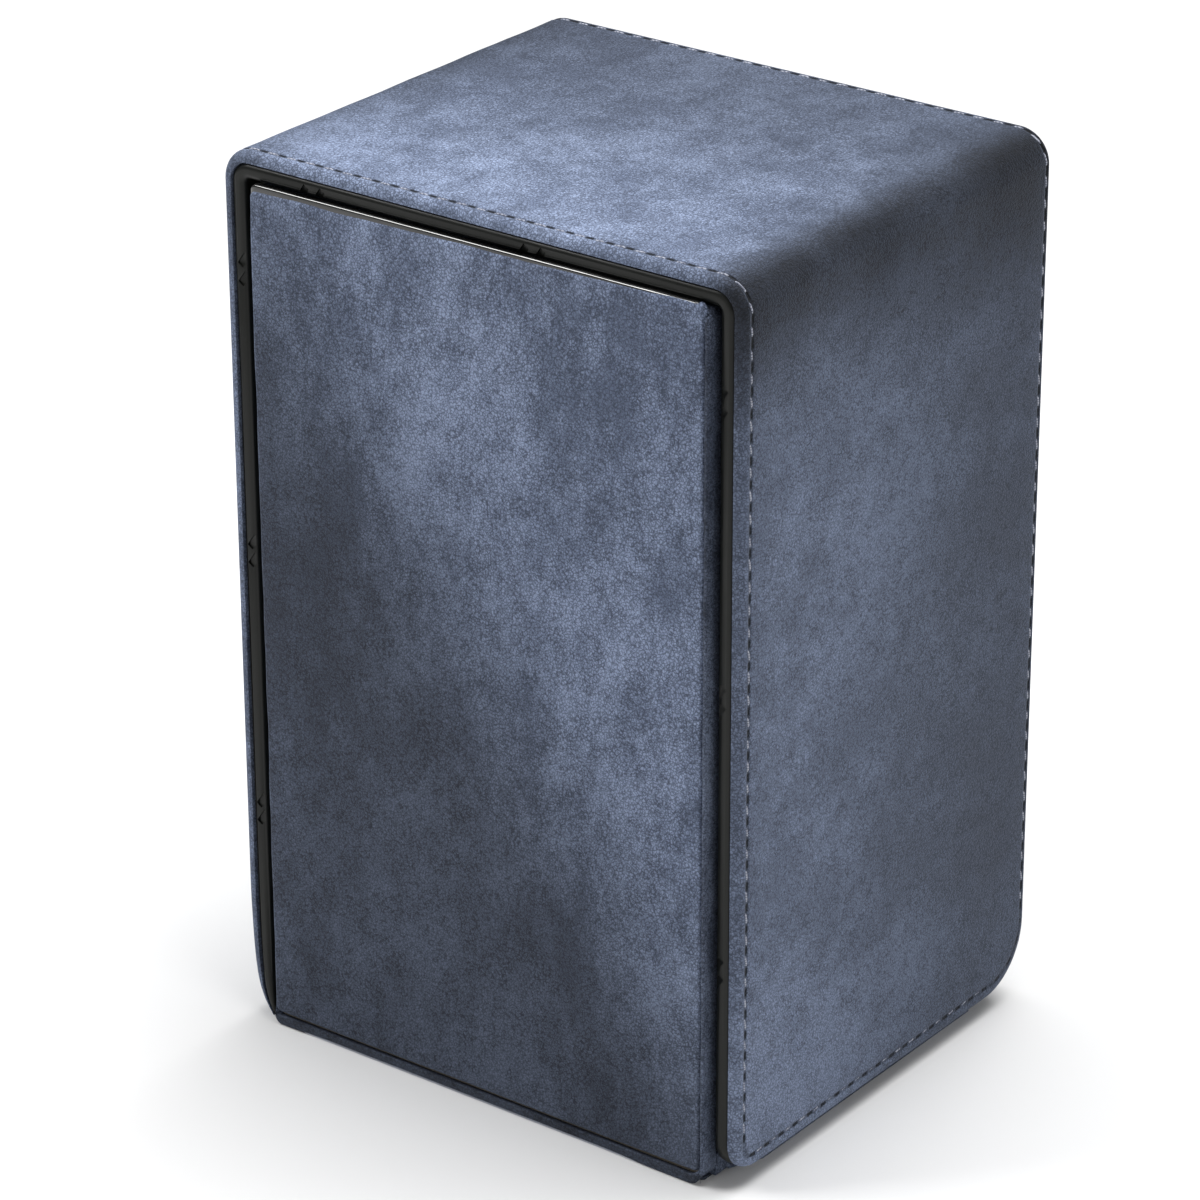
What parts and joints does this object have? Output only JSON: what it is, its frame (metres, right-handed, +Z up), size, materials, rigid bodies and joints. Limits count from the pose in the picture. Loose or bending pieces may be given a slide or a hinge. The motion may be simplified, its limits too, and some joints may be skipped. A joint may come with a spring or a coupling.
{
  "type": "card deck box",
  "caption": "Upright card deck box with a suede-look leatherette arch, a hinged front flap, a card bay with divider and an accessory drawer below.",
  "frame": {"origin": "centre of the footprint, on the plane of the base's underside, so at table level", "axes": "+Z up, -Y out of the front flap, +X to the right of a viewer who faces the flap"},
  "size_m": [0.108, 0.0906, 0.165],
  "materials": {
    "suede": "mottled blue suede-look leatherette, soft matt",
    "board": "plain greyboard, hidden under the covering",
    "black_liner": "black, semi-gloss",
    "thread": "pale grey-blue sewing thread",
    "felt": "dark grey short-pile felt",
    "ribbon": "woven blue ribbon",
    "tray_plastic": "black, fine satin",
    "magnet": "nickel plated"
  },
  "bodies": {
    "case": {"shell_skin": "suede", "shell_board_left": "board", "shell_board_top": "board", "shell_board_right": "board", "liner_arch": "black_liner", "front_hem_stitching": "thread", "back_hem_stitching": "thread", "lower_hem_stitching": "thread", "base_board": "board", "base_skin": "suede", "base_felt": "felt", "hinge_strip": "suede", "back_board": "board", "back_skin": "suede", "back_felt": "felt", "shelf_board": "board", "shelf_felt": "felt", "bay_lining_left": "felt", "bay_lining_top": "felt", "bay_lining_right": "felt", "header_bar": "black_liner", "case_magnet_left": "magnet", "case_magnet_right": "magnet", "card_tray": "tray_plastic", "tray_felt": "felt", "lift_ribbon": "ribbon", "drawer_box": "tray_plastic", "drawer_felt": "felt", "drawer_front": "suede", "drawer_pull": "suede"},
    "flap": {"flap_board": "board", "flap_face": "suede", "flap_wrap": "suede", "flap_top_trim": "black_liner", "flap_lining": "felt", "flap_magnet_left": "magnet", "flap_magnet_right": "magnet"},
    "divider": {"card_divider": "tray_plastic"}
  },
  "joints": [
    {"name": "flap_hinge", "type": "hinge", "parent": "case", "child": "flap", "pos_m": [0, -0.0449, 0.0004], "axis": [1, 0, 0], "range_deg": [0, 90]},
    {"name": "divider_slide", "type": "slide", "parent": "case", "child": "divider", "axis": [1, 0, 0], "range_m": [0, 0.082]}
  ]
}
